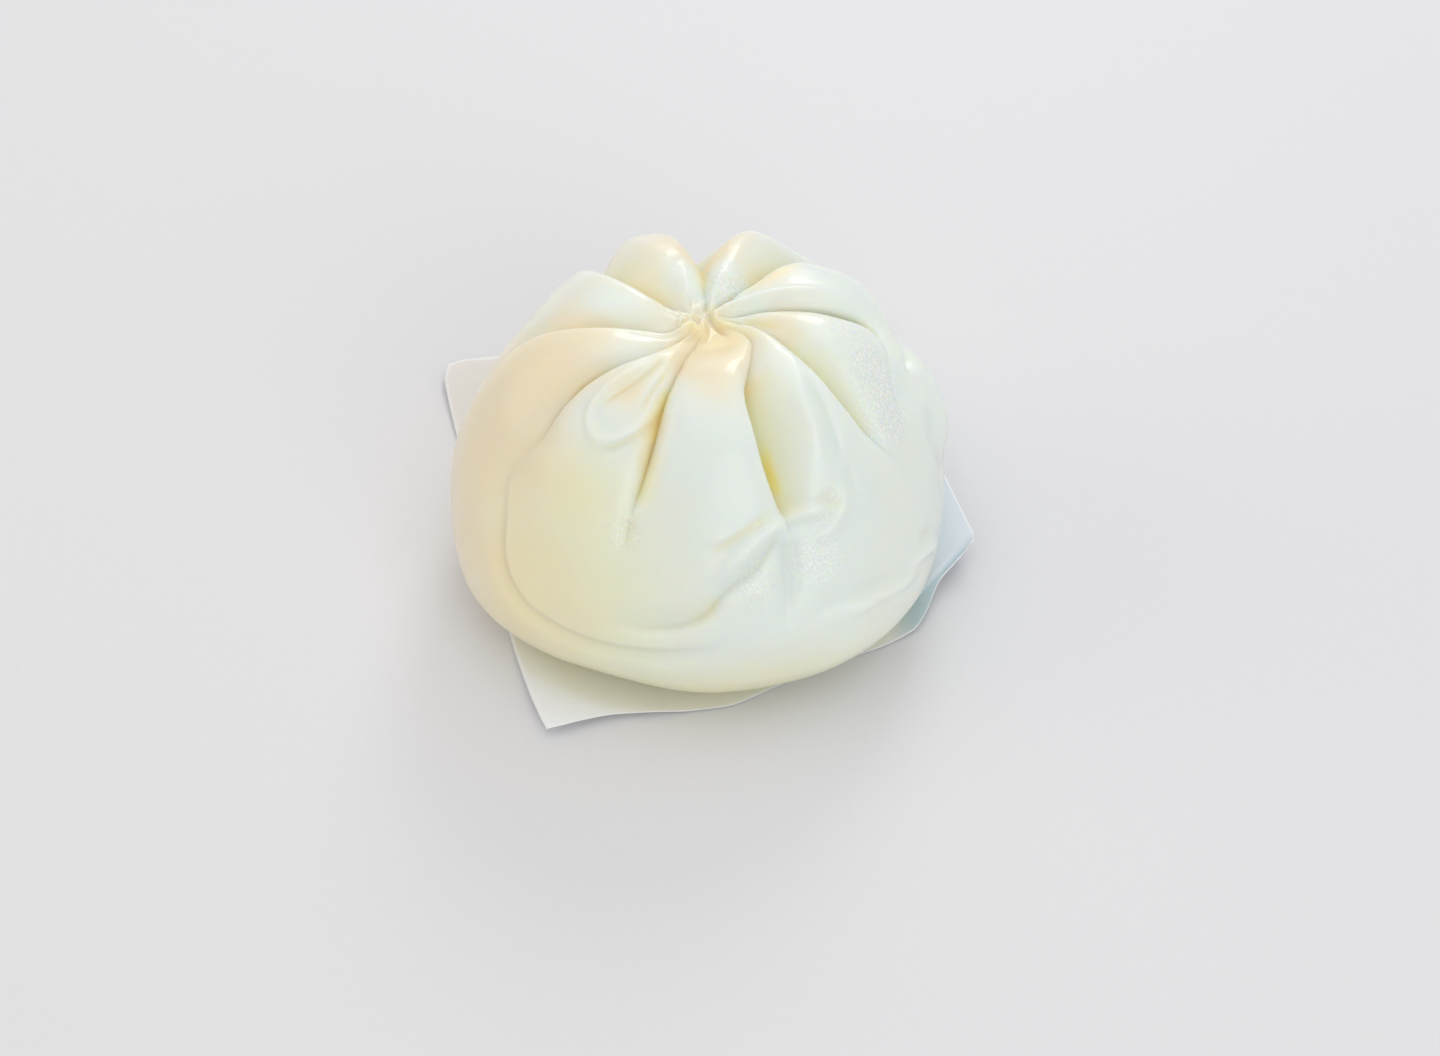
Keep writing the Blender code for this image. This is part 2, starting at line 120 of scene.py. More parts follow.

# Secondary folds. route: (azimuth, station) points; depth: mm, negative for a ridge; left and right:
# widths either side, looking along the route from outside; lip: the side (1 left, -1 right) that turns
# under steeply; lean: slip towards the left; ends: share of the route over which each end fades.
# yellow: how much painted shade yellows the skin by a fold; the barely pressed *_glow folds are only painted
# glow of shade.
FOLDS = (
    dict(name="ring", route=((210, 48), (212, 54), (215.5, 60), (218, 66), (226, 72.4), (239, 75),
                             (249, 75), (263, 73.8), (271, 72.4), (281, 70)), depth=1.5, left=2.2,
         right=4.5, lip=1, lean=0.3, ends=(0.25, 0.25)),
    dict(name="hem", route=((294, 50.5), (289, 53.5), (283.5, 57), (275.5, 61.5), (271, 65.6),
                            (266, 67.8), (257, 69.3), (246, 69.3)), depth=2.3, left=2.6, right=7, lip=1,
         lean=0.3, ends=(0.15, 0.35)),
    dict(name="hem_glow", route=((275.5, 61.5), (271, 65.6), (266, 67.8)), depth=0.3, left=2.6, right=5,
         ends=(0.3, 0.4), yellow=0.25),
    dict(name="hem_band", route=((290, 47.8), (284, 49.6), (279, 51.3), (275, 52.9), (270, 55)), depth=1.0,
         left=1.7, right=1.7, ends=(0.25, 0.4), yellow=0.35),
    dict(name="hem_gloss", route=((289, 48.4), (283, 49.8), (276, 51), (269.5, 52)), depth=-0.5, left=1.6,
         right=1.4, ends=(0.3, 0.3)),
    dict(name="star", route=((291, 52), (291, 59), (290.3, 65), (289.5, 73)), depth=2.1, left=4.5, right=5,
         ends=(0.15, 0.6)),
    dict(name="ridge", route=((272, 60), (277, 56.6), (280, 54.6), (284, 52.4), (289, 50.6), (294, 49.7),
                              (300, 49.6), (307, 50.8), (310, 51.6)), depth=-1.8, left=2.0, right=2.2,
         ends=(0.3, 0.25)),
    dict(name="ring_end", route=((298, 54.8), (302, 54.4), (306, 52.8), (309, 50.5), (309.5, 47)),
         depth=-1.0, left=1.9, right=1.9, ends=(0.25, 0.4)),
    dict(name="low_right", route=((290, 70.5), (297, 69), (302, 68), (308, 68), (316, 68), (324, 69.5)),
         depth=0.6, left=5, right=2.8, ends=(0.3, 0.3)),
    dict(name="low_ridge", route=((301.5, 70), (307.7, 71), (314.8, 71), (322.7, 72.5), (331.6, 74)),
         depth=-1.2, left=2.6, right=2.4, ends=(0.3, 0.3)),
    dict(name="tongue_lip", route=((237.5, 38.6), (241, 37.6), (244.6, 35.8), (248.1, 33.8),
                                   (250.9, 31.7), (252.5, 29), (253, 26.5)), on="left_front", depth=0.9,
         left=0.8, right=2.8, lip=1, lean=0.3, ends=(0.15, 0.15), yellow=0.3),
    dict(name="tongue_rim", route=((236.6, 18.7), (232.3, 23.9), (229.6, 28.1), (229.3, 31.7),
                                   (231.5, 34.8), (235.5, 36.8), (240, 36.6), (244.8, 34.4), (249, 31.8),
                                   (251.2, 28.6), (251.7, 25)), on="left_front", depth=-0.9, left=1.7,
         right=1.8, ends=(0.2, 0.2)),
    dict(name="tongue_plane", route=((245, 15), (242, 21), (240, 26), (238, 31)), on="left_front",
         depth=0.8, left=4.0, right=4.5, ends=(0.3, 0.3), yellow=0.2),
    dict(name="tongue_left_line", route=((242.7, 16), (240.4, 20.8), (236.5, 25.2), (233.5, 29.4),
                                         (232, 32.5)), on="left_front", depth=0.8, left=2.2, right=0.8,
         lip=-1, ends=(0.25, 0.25), yellow=0.4),
    dict(name="tongue_right_line", route=((247.2, 30), (246.5, 27.8), (247.1, 25.1), (248.5, 22),
                                          (250, 17)), on="left_front", depth=0.7, left=0.8, right=1.8,
         lip=1, ends=(0.25, 0.3), yellow=0.35),
    dict(name="right_front_lobe_crease", route=((364, 7), (352, 11), (346, 14.5), (343, 18)), depth=0.9,
         left=2.0, right=1.4, ends=(0.25, 0.4), yellow=0.5),
    dict(name="slot_right_lobe_crest", route=((322, 21), (314, 26), (309.5, 30), (307.8, 34.5), (306, 39),
                                              (305, 44)), depth=-0.7, left=2.4, right=2.4, ends=(0.3, 0.4)),
    dict(name="slot_right_lobe_side", route=((319, 26), (316, 32), (314.4, 38), (311.4, 45)), depth=1.0,
         left=1.6, right=4.5, lip=1, ends=(0.35, 0.35)),
    dict(name="slot_right_lobe_dash", route=((313.4, 44.5), (312.9, 47), (312.5, 50)), depth=0.6, left=1.6,
         right=1.6, ends=(0.4, 0.4)),
    dict(name="middle_lobe_top", route=((266, 15), (271, 11), (277, 8.6), (292, 9.5), (308, 9.6),
                                        (326, 9)), on="slot_left", depth=0.15, left=4.0, right=3.5,
         ends=(0.3, 0.3)),
    dict(name="middle_lobe_rim", route=((336, 9.5), (322, 12), (308, 15), (299, 19), (294.5, 24)),
         on="slot_left", depth=-0.25, left=1.5, right=1.9, ends=(0.3, 0.5)),
    dict(name="back_lobe_fold", route=((100, 18), (108, 15.5), (118, 14), (127, 15)), depth=0.5, left=2.6,
         right=3.4, ends=(0.3, 0.3)),
    dict(name="back_lobe_band", route=((104, 16), (107, 12), (110, 8.5), (120, 5)), depth=-1.1, left=2.4,
         right=1.8, ends=(0.4, 0.3)),
    dict(name="beak", route=((16, 41.6), (11.3, 42.2), (8.3, 42.8), (4.6, 44.2), (359, 44.2)), on="right",
         depth=3.4, left=4.0, right=0.9, lip=-1, ends=(0.35, 0.1)),
    dict(name="side_crease", route=((354, 50), (352.5, 53.8), (351.3, 57), (352.3, 60.5), (356.5, 65)),
         depth=1.3, left=1.6, right=4, lip=1, ends=(0.35, 0.1)),
    dict(name="low_notch", route=((342, 75), (337, 73.2), (332, 71.5), (327, 70.5), (322, 71.5)),
         depth=-1.2, left=1.6, right=1.7, ends=(0.2, 0.35)),
    dict(name="notch_hollow", route=((342, 71.5), (336, 69), (330, 67.5)), depth=0.9, left=3, right=2.6,
         ends=(0.4, 0.4), yellow=0.1),
    dict(name="right_lobe_lip", route=((38, 4.5), (30, 9), (21, 15), (17.5, 20), (15, 28)), depth=-1.1,
         left=1.5, right=1.7, ends=(0.2, 0.5)),
    dict(name="knot_ridge", route=((110, 5.5), (127, 3), (241.7, 3.5), (264.5, 4.5), (281.6, 6)),
         depth=-1.1, left=1.2, right=1.2, ends=(0.25, 0.25)),
    dict(name="knot_crease", route=((80, 7), (77.3, 4.2), (43.8, 2.4), (349.3, 2.9), (326.4, 5.1),
                                    (318, 8)), depth=0.9, left=1.1, right=1.1, ends=(0.25, 0.35),
         yellow=0.25),
    dict(name="knot_curl", route=((36, 9), (39.8, 5.6), (40, 3.8), (13.3, 2.9), (350, 4.6), (346, 7.5)),
         depth=-1.0, left=1.1, right=1.1, ends=(0.3, 0.3)),
    dict(name="right_back_root", route=((48.5, 11), (49.5, 7.3), (47.3, 4.9)), depth=0.7, left=1.0,
         right=1.0, ends=(0.4, 0.3), yellow=0.6),
    dict(name="right_back_lobe_ridge", route=((68, 13), (70.3, 8.2), (64.3, 4.8), (35.7, 1.9)), depth=-1.0,
         left=1.3, right=1.3, ends=(0.4, 0.3)),
    dict(name="left_back_sliver", route=((142, 11), (140, 16), (139, 21), (137, 27), (133, 33)),
         on="left_back", depth=0.8, left=1.3, right=1.3, ends=(0.3, 0.4)),
    dict(name="left_back_line", route=((196, 8), (186, 13), (183, 18), (180, 25)), on="left_back",
         depth=0.6, left=1.4, right=1.4, ends=(0.3, 0.4)),
    dict(name="left_lobe_strand", route=((228, 7), (216, 10), (207, 13), (201, 17)), on="left", depth=0.6,
         left=1.4, right=1.8, ends=(0.3, 0.4)),
    dict(name="slot_glow_left", route=((257, 20), (254, 26), (253.4, 32), (253, 38)), depth=0.1, left=1.8,
         right=3.0, ends=(0.3, 0.3), yellow=0.9),
    dict(name="slot_glow_right", route=((254, 34), (253.2, 41), (252, 48)), depth=0.1, left=5.5, right=1.5,
         ends=(0.3, 0.3), yellow=0.55),
    dict(name="slot_glow_deep", route=((299.4, 30), (298.6, 36), (297.0, 41), (295.8, 46), (295.3, 50)),
         depth=0.1, left=1.1, right=3.5, ends=(0.5, 0.35), yellow=1.2),
    dict(name="right_back_glow", route=((39, 8), (37, 14), (38, 20), (41, 28)), depth=0.1, left=2.5,
         right=3.0, ends=(0.3, 0.3), yellow=0.35),
    dict(name="back_glow", route=((84, 6), (88, 12), (90, 18), (92, 26)), depth=0.1, left=2.5, right=2.5,
         ends=(0.3, 0.3), yellow=0.6),
    dict(name="slot_end", route=((252, 49), (251.5, 52), (253, 57)), depth=0.9, left=3.5, right=3.5,
         ends=(0.2, 0.6), yellow=0.15),
    dict(name="back_low_right", route=((74, 48), (71, 56), (70, 66), (72, 74)), depth=1.4, left=6, right=7,
         ends=(0.35, 0.4)),
    dict(name="back_low_left", route=((128, 46), (130, 56), (128, 66), (124, 75)), depth=1.4, left=7,
         right=6, ends=(0.35, 0.4)),
)

# Soft rises and hollows: azimuth, station, height, radius and how much painted yellow shade each carries.
BULGES = (
    (6, 53, 3.4, 12, 0), (20, 49, -1.6, 7, 0), (30, 37, 1.7, 9, 0), (68, 34, 0.3, 8, 0),
    (88, 33, -0.5, 5, 0), (236, 46, 0, 9, 0.3), (200, 33, 0, 7, 0.15), (57, 38, -1.2, 6, 0),
    (42, 33, -0.7, 6, 0), (357.5, 58, 1.5, 5, 0), (357, 68, -1.3, 4, 0), (352, 45, -0.9, 4, 0),
    (108, 32, -0.8, 8, 0), (152, 47, -1.2, 9, 0), (205, 82, 0.5, 12, 0), (248, 89, -2.3, 17, 0),
    (284, 89, -0.7, 14, 0), (352, 77, -0.8, 14, 0), (244, 27, -0.5, 5, 0), (305, 49.6, -0.8, 2.2, 0.15),
    (303, 6.5, -0.5, 6.8, 0.5), (282, 9, 0, 6, 0.35), (225, 3.0, 1.0, 3.2, 0), (66, 11.5, 2.0, 3.6, 0),
)

# Dimpled patches of skin, their cell tops painted with glints: azimuth, station, radius and amount. Some,
# such as the small ones on the crests, are there mainly for their painted glints.
PEBBLES_AND_GLINTS = (
    (351, 29, 5, 0.8), (345, 34, 6, 1.1), (341.5, 39, 6.5, 1.2), (337, 45, 5.5, 1.3), (283, 60, 5.5, 0.7),
    (299, 59, 6.5, 0.8), (307, 30, 1.8, 1.1), (305.5, 35, 1.8, 1.2), (305.5, 40, 1.8, 1.2),
    (18, 16, 2, 1.0), (16, 22, 2, 1.0), (280, 49.8, 1.6, 1.2), (275.5, 51.2, 1.6, 1.2),
    (284, 48.6, 1.4, 1.0), (302, 52, 3.5, 0.7), (251, 52, 4, 0.7), (262, 58, 5, 0.2), (310, 22, 4, 0.2),
    (286, 50, 3, 0.6), (307, 48, 3, 0.8), (63, 11, 4.5, 1.2), (106, 10, 3, 0.8),
)

# Tint of the skin. Creamy: everywhere, towards the left, at the far left and round the knot, and the
# stretches of x, or at the knot of z, over which each comes in. Towards the left it is partly the dough's
# own tone and partly painted warm light from the left.
WARM_ALL, WARM_LEFT_TONE_AND_LIGHT, WARM_FAR_LEFT_TONE_AND_LIGHT, WARM_KNOT = 0.05, 0.6, 0.35, 0.42
LEFT_DRIFT, FAR_LEFT, KNOT_HEIGHT = (-62, 14), (-50, -30), (40, 55)
KNOT_TINT, KNOT_TINT_RADIUS = (KNOT[0] - 4, KNOT[1] - 2), 15
# Painted yellow shade: of the deepest crease, of hollows sunk between two depths below the skin evened out
# in so many rounds; then the yellower rim low down and low left.
DEEPEST, SUNK_SHARE, SUNK_BETWEEN, WIDE_ROUNDS = 1.4, 0.5, (0.3, 3.0), 120
RIM_SHARE, RIM_HEIGHT, RIM_RIGHT, RIM_LEFT = 0.5, (6, 26), (5, 60), (-52, -34)
LOW_SHARE, LOW_HEIGHT, LOW_RIGHT, LOW_LEFT = 0.4, (32, 58), (-24, 8), (-50, -34)

# Creamier patches (azimuth, station, radius and amount) besides the broad drift of the tint: partly the
# dough's own tone and partly painted light, the whiter ones (negative) being painted sheen and painted light
# in shaded places, and some creamier ones painting over lit tops and highlights.
CREAM_AND_PAINTED_LIGHT = (
    (44, 20, 5, 0.5), (30, 34, 6, 0.1), (47, 10, 3, 0.5), (36, 3, 3.5, 0.2), (84, 22, 9, 1.0),
    (4, 15, 5, 0.4), (302, 8, 6, 0.4), (182, 22, 9, 0.6), (58, 22, 4.5, -0.3), (22, 12, 6, -0.5),
    (64, 11, 4.5, -0.6), (245, 40, 6, -0.4), (274, 15, 7, 0.9), (104, 12, 5, -0.5), (345, 20, 5, 0.65),
    (336, 25, 6, -0.4), (278, 25, 6, 0.6), (252, 38, 3.5, 0.5), (168, 21, 5, -0.6), (228, 33, 4, -0.4),
    (238, 38, 4, -0.4), (270, 82, 9, 0.1), (286, 36, 9, -0.2), (254, 32, 4, 0.6), (342, 38, 7, -0.4),
    (225, 44, 9, 0.25), (284, 62, 7, -0.3), (240, 27, 4, 0.4), (172, 15, 5, -0.6), (38, 15, 4, 0.4),
    (200, 33, 8, 0.9), (194, 45, 8, 0.3), (250, 56, 9, -0.3), (268, 12, 5, 0.5), (300, 7, 4, 0.5),
)

# The knot: thin strands running into it, how far they turn, over what length and from where; short ones
# laid across it, their direction and middle, the gap between them, half the length of the middle one and
# how fast the others shorten; and the azimuths between which it is bare.
STRANDS, STRAND_TURN, STRAND_UNWIND, STRAND_START = 26, 60, 3.5, 2.2
TWISTS, TWIST_AZIMUTH, TWIST_CENTRE = 7, 50, (-1.9, -1.7)
TWIST_GAP, TWIST_REACH, TWIST_SHORTER = 1.05, 5.5, 0.3
BARE = (272, 338)


def smooth(x, low=0.0, high=1.0):
    """0 below low, 1 above high and a soft ramp between."""
    t = np.clip((x - low) / (high - low), 0, 1)
    return t * t * (3 - 2 * t)


def hermite(x, stations, values, slopes):
    """Cubic curve through values at stations with the given slopes."""
    k = np.clip(np.searchsorted(stations, x, side="right") - 1, 0, len(stations) - 2)
    h = stations[k + 1] - stations[k]
    t = (x - stations[k]) / h
    return (values[k] * (1 + 2 * t) * (1 - t) ** 2 + values[k + 1] * t * t * (3 - 2 * t)
            + h * (slopes[k] * t * (1 - t) ** 2 - slopes[k + 1] * t * t * (1 - t)))


def eased(points, x):
    """Smooth curve through (station, value) points that never overshoots them."""
    at, value = np.array(points, float).T
    h = np.diff(at)
    d = np.diff(value) / h
    slopes = np.zeros(len(at))
    for i in range(1, len(at) - 1):
        if d[i - 1] * d[i] > 0:
            w1, w2 = 2 * h[i] + h[i - 1], h[i] + 2 * h[i - 1]
            slopes[i] = (w1 + w2) / (w1 / d[i - 1] + w2 / d[i])
    return hermite(np.clip(x, at[0], at[-1]), at, value, slopes)


def through(points, at, x):
    """Flowing curve through points, each at its own station."""
    return hermite(x, at, points, np.gradient(points, at))


def dome_outline(steps=500, spread=10, under=60):
    """Distance from the knot, radius and height down the plain dome and in under it to the middle."""
    p = np.array(OUTLINE, float)
    at = np.concatenate([[0], np.cumsum(np.hypot(*np.diff(p, axis=0).T))])
    x = np.linspace(0, at[-1], steps)
    r, z = through(p[:, 0], at, x), through(p[:, 1], at, x)
    half = 3 * spread
    kernel = np.exp(-0.5 * (np.arange(-half, half + 1) / spread) ** 2)
    kernel /= kernel.sum()
    r = np.convolve(np.concatenate([-r[half:0:-1], r, 2 * r[-1] - r[-2:-half - 2:-1]]), kernel, "valid")
    z = np.convolve(np.concatenate([z[half:0:-1], z, np.full(half, z[-1])]), kernel, "valid")
    r[0] = 0
    inward = np.linspace(r[-1], 0, under)[1:]
    r = np.concatenate([r, inward])
    z = np.concatenate([z, np.full(len(inward), z[-1])])
    return np.concatenate([[0], np.cumsum(np.hypot(np.diff(r), np.diff(z)))]), r, z


DOME_S, DOME_R, DOME_Z = dome_outline()


def plain_point(angle, s):
    """Point on the dome with no pleats."""
    r, z = np.interp(s, DOME_S, DOME_R), np.interp(s, DOME_S, DOME_Z)
    high = smooth(z, KNOT_FROM, KNOT_TO)
    share = np.where(np.sin(angle) > 0, BACK_SHARE, FRONT_SHARE)
    return np.stack([KNOT[0] * high + r * np.cos(angle), KNOT[1] * high + share * r * np.sin(angle), z], -1)


def unit(v):
    """Vectors of length 1."""
    return v / (np.linalg.norm(v, axis=-1, keepdims=True) + 1e-12)


def plain_frame(angle, s):
    """Directions round the dome, down it and out of it."""
    round_ = unit(plain_point(angle + 1e-3, s) - plain_point(angle - 1e-3, s))
    down = unit(plain_point(angle, s + 0.05) - plain_point(angle, s - 0.05))
    return round_, down, unit(np.cross(down, round_))


def lip_shape(x):
    """A rounded edge that drops away steeply into the crease at x = 0."""
    x = np.clip(x, 0, 1)
    return 1 - np.sqrt(np.clip(1 - (1 - x) ** 2, 0, 1))


def flank_shape(x):
    """A soft slope down into the crease at x = 0."""
    x = np.clip(x, 0, 1)
    return (1 - x) ** 2 * (1 + 0.6 * x)


def waves(points, size, seed, count=28):
    """Smooth noise about zero: a sum of plane waves about size mm long."""
    rng = np.random.RandomState(seed)
    out = np.zeros(points.shape[:-1])
    for _ in range(count):
        heading = rng.normal(size=3)
        heading /= np.linalg.norm(heading)
        rate = 2 * np.pi / (size * rng.uniform(0.7, 1.5))
        out += np.sin(points @ heading * rate + rng.uniform(0, 2 * np.pi))
    return out / np.sqrt(count / 2)


def lobe_columns():
    """Each column's lobe and its place across it, closer together at the front and near the creases."""
    mid = np.array([eased(p["path"], LOBE_STATION) for p in PLEATS], float)
    wide = (np.roll(mid, -1) - mid) % 360
    share = wide * (1 - FRONT_CLOSER * np.sin(np.radians(mid + wide / 2)))
    count = 2 * np.round(0.5 * COLUMNS * share / share.sum()).astype(int)
    lobe = np.concatenate([np.full(c, i) for i, c in enumerate(count)])
    tau = np.concatenate([np.arange(c) / c for c in count])
    return lobe, (1 - CREASE_CLOSER) * tau + CREASE_CLOSER * 0.5 * (1 - np.cos(np.pi * tau))


def fold_line(fold, step=0.5):
    """Points along a fold on the plain dome, the left-hand direction at each, and each one's share."""
    azimuth, station = np.array(fold["route"], float).T
    corners = plain_point(np.radians(azimuth), station)
    at = np.concatenate([[0], np.cumsum(np.linalg.norm(np.diff(corners, axis=0), axis=1))])
    x = np.linspace(0, at[-1], max(4, int(at[-1] / step)))
    flat = station * np.exp(1j * np.radians(azimuth))
    flat = through(flat.real, at, x) + 1j * through(flat.imag, at, x)
    angle, s = np.angle(flat), np.abs(flat)
    line = plain_point(angle, s)
    along = unit(np.gradient(line, axis=0))
    return line, np.cross(plain_frame(angle, s)[2], along), x / at[-1]


def fold_in(fold, plain, lobe, height, slip, yellow):
    """Presses one secondary fold into the height, sideways slip and painted yellow shade of the points near
    it.
    """
    line, left, share = fold_line(fold)
    reach = max(fold["left"], fold["right"]) * RIDGE_REACH
    near = ((plain > line.min(0) - reach) & (plain < line.max(0) + reach)).all(1)
    if "on" in fold:
        near &= lobe == [p["name"] for p in PLEATS].index(fold["on"])
    near = np.where(near)[0]
    q = plain[near]
    d2 = (q ** 2).sum(1)[:, None] + (line ** 2).sum(1)[None] - 2 * q @ line.T
    k = d2.argmin(1)
    d = np.sqrt(np.maximum(d2[np.arange(len(k)), k], 0))
    on_left = ((q - line[k]) * left[k]).sum(1) >= 0
    x = d / np.where(on_left, fold["left"], fold["right"])
    if fold["depth"] < 0:
        f = np.exp(-(RIDGE_STEEP * x) ** 2) * (x < RIDGE_REACH)
    else:
        lip = fold.get("lip", 0)
        f = np.where(on_left == (lip > 0), lip_shape(x), flank_shape(x)) if lip else flank_shape(x)
    first, last = fold["ends"]
    f *= smooth(share[k], 0, first) * (1 - smooth(share[k], 1 - last, 1))
    height[near] -= fold["depth"] * f
    slip[near] += left[k] * (fold.get("lean", 0) * abs(fold["depth"]) * f)[:, None]
    yellow[near] = np.maximum(yellow[near], fold.get("yellow", 0) * f)


def strands():
    """The thin strands of dough at the knot, as folds: those that run into it and those laid across it."""
    rng = np.random.RandomState(11)
    made = []
    for i in range(STRANDS):
        azimuth = 360 * (i + rng.uniform(-0.3, 0.3)) / STRANDS
        far, width, rise = rng.uniform(7, 13), rng.uniform(0.7, 1.3), rng.uniform(0.3, 0.6)
        if BARE[0] < azimuth < BARE[1]:
            continue
        route = [(azimuth + STRAND_TURN * np.exp(-s / STRAND_UNWIND), s)
                 for s in np.linspace(STRAND_START, far, 7)]
        made.append(dict(route=route, depth=-rise, left=width, right=width, ends=(0.25, 0.6)))
    for i in range(TWISTS):
        aside = TWIST_GAP * (i - (TWISTS - 1) / 2)
        reach = TWIST_REACH - TWIST_SHORTER * aside ** 2 + rng.uniform(-0.6, 0.6)
        along = np.linspace(-reach, reach, 7)
        bent = aside * (0.75 + 0.25 * np.cos(along)) + 0.5 * np.sin(0.8 * along + rng.uniform(0, 6))
        place = complex(*TWIST_CENTRE) + (along + 1j * bent) * np.exp(1j * np.radians(TWIST_AZIMUTH))
        route = [(np.degrees(np.angle(p)), abs(p)) for p in place]
        width, rise = rng.uniform(0.7, 1.0), rng.uniform(0.6, 0.95)
        made.append(dict(route=route, depth=-rise, left=width, right=width, ends=(0.3, 0.35)))
    return made


def soften(points, rounds, weight):
    """Evens out the skin a little, as rising dough does."""
    for _ in range(rounds):
        beside = 0.5 * (np.roll(points, 1, 1) + np.roll(points, -1, 1))
        above = points.copy()
        above[1:-1] = 0.5 * (points[:-2] + points[2:])
        points = points + weight[..., None] * (0.5 * (beside + above) - points)
    return points


def of_pleats(key, numbers):
    """One of the pleats' values for each of the numbered pleats."""
    return np.array([p[key] for p in PLEATS])[numbers]


def pleat_side(side, lobe, t, wide, station):
    """The pleat on one side of each lobe, and its shape: 1 in the crease and 0 away from it."""
    owner = (lobe + side) % len(PLEATS)
    x = (t if side == 0 else 1 - t) * wide
    lean, lip, flank = (of_pleats(key, owner) for key in ("lean", "lip", "flank"))
    covers = (lean == 0) | ((lean > 0) == (side == 0))
    last = np.array([p["depth"][-1][0] for p in PLEATS])[owner]
    flank = flank * (1 - FLANK_CUT * smooth(station, last * FLANK_FROM, last))
    half = 0.5 * wide + 1e-6
    steep, soft = lip_shape(x / np.minimum(lip, half)), flank_shape(x / np.minimum(flank, half))
    return owner, np.where(covers, steep, soft)


def lobes_and_pleats(s, lobe, t, station, across):
    """Height of the skin over the plain dome, how far it slips round it, and how much painted yellow shade it
    takes.
    """
    near_knot = 1 - np.exp(-(s / KNOT_FADE) ** 2)
    deep = np.stack([eased(p["depth"], s) * (s < p["depth"][-1][0]) * near_knot for p in PLEATS])
    puff = np.stack([eased(p["puff"], s) for p in PLEATS])
    wide = np.interp(station, DOME_S, DOME_R) * across
    peak = of_pleats("peak", lobe)
    off = np.where(t < peak, (peak - t) / peak, (t - peak) / (1 - peak))
    height = puff[lobe].T * (1 - off ** LOBE_POWER)
    slip = np.zeros_like(height)
    yellow = np.zeros_like(height)
    for side in (0, 1):
        owner, share = pleat_side(side, lobe, t, wide, station)
        f = deep[owner].T * share
        height -= f
        slip += of_pleats("lean", owner) * f
        glow = of_pleats("yellow", owner) * smooth(deep[owner].T, YELLOW_FROM, YELLOW_TO)
        yellow = np.maximum(yellow, glow * share)
    return height, slip, yellow


def bulges_in(plain, height, yellow):
    """Adds the soft rises and hollows with their painted yellow shade, and the unevenness of the skin."""
    for azimuth, at, rise, radius, glow in BULGES:
        centre = plain_point(np.radians(azimuth), float(at))
        bell = np.exp(-((plain - centre) ** 2).sum(1) / radius ** 2)
        height += rise * bell
        np.maximum(yellow, glow * bell, out=yellow)
    above_foot = smooth(plain[:, 2], 3, 14)
    for rise, size, seed in UNEVEN:
        height += above_foot * rise * waves(plain, size, seed)


def bun_form():
    """The bun's skin as rows of points from the knot down, and how much painted yellow shade its creases
    take.
    """
    lobe, t = lobe_columns()
    stations, rows = np.array(ROWS, float).T
    s = np.interp(np.arange(1, rows[-1]), rows, np.minimum(stations, DOME_S[-1]))
    start = np.radians(np.stack([eased(p["path"], s) for p in PLEATS]))
    first, second = start[lobe].T, np.roll(start, -1, 0)[lobe].T
    across = (second - first) % (2 * np.pi)
    angle = first + across * t
    station = np.repeat(s[:, None], len(t), 1)
    points = plain_point(angle, station)
    round_, _, out = plain_frame(angle, station)
    height, slip, yellow = lobes_and_pleats(s, lobe, t, station, across)
    shape = points.shape
    flat, out_flat = points.reshape(-1, 3), out.reshape(-1, 3)
    height, yellow = height.ravel(), yellow.ravel()
    slip = (round_ * slip[..., None]).reshape(-1, 3)
    lobes = np.broadcast_to(lobe, shape[:2]).ravel()
    for fold in FOLDS + tuple(strands()):
        fold_in(fold, flat, lobes, height, slip, yellow)
    bulges_in(flat, height, yellow)
    points = (flat + out_flat * height[:, None] + slip).reshape(shape)
    weight = SOFTEN_KNOT + SOFTEN_MORE * smooth(station, SOFTEN_FROM, SOFTEN_TO)
    points = soften(points, SOFTEN_ROUNDS, weight)
    points[..., 2] = np.maximum(points[..., 2], REST)
    return points, yellow.reshape(shape[:2]), s


def cream_and_warm_light_share(points):
    """How creamy the skin is, partly its own tone and partly painted warm light and sheen: most at the left
    and near the knot, least at the right.
    """
    x, y, z = points[..., 0], points[..., 1], points[..., 2]
    left = 1 - smooth(x - 0.25 * y, *LEFT_DRIFT)
    far_left = 1 - smooth(x, *FAR_LEFT)
    from_knot = np.hypot(x - KNOT_TINT[0], y - KNOT_TINT[1])
    knot = np.exp(-(from_knot / KNOT_TINT_RADIUS) ** 2) * smooth(z, *KNOT_HEIGHT)
    cream_and_warm_light = WARM_ALL + WARM_LEFT_TONE_AND_LIGHT * left + WARM_FAR_LEFT_TONE_AND_LIGHT * far_left + WARM_KNOT * knot
    for azimuth, at, radius, amount in CREAM_AND_PAINTED_LIGHT:
        centre = plain_point(np.radians(azimuth), float(at))
        cream_and_warm_light += amount * np.exp(-((points - centre) ** 2).sum(-1) / radius ** 2)
    return np.clip(cream_and_warm_light, 0, 1)


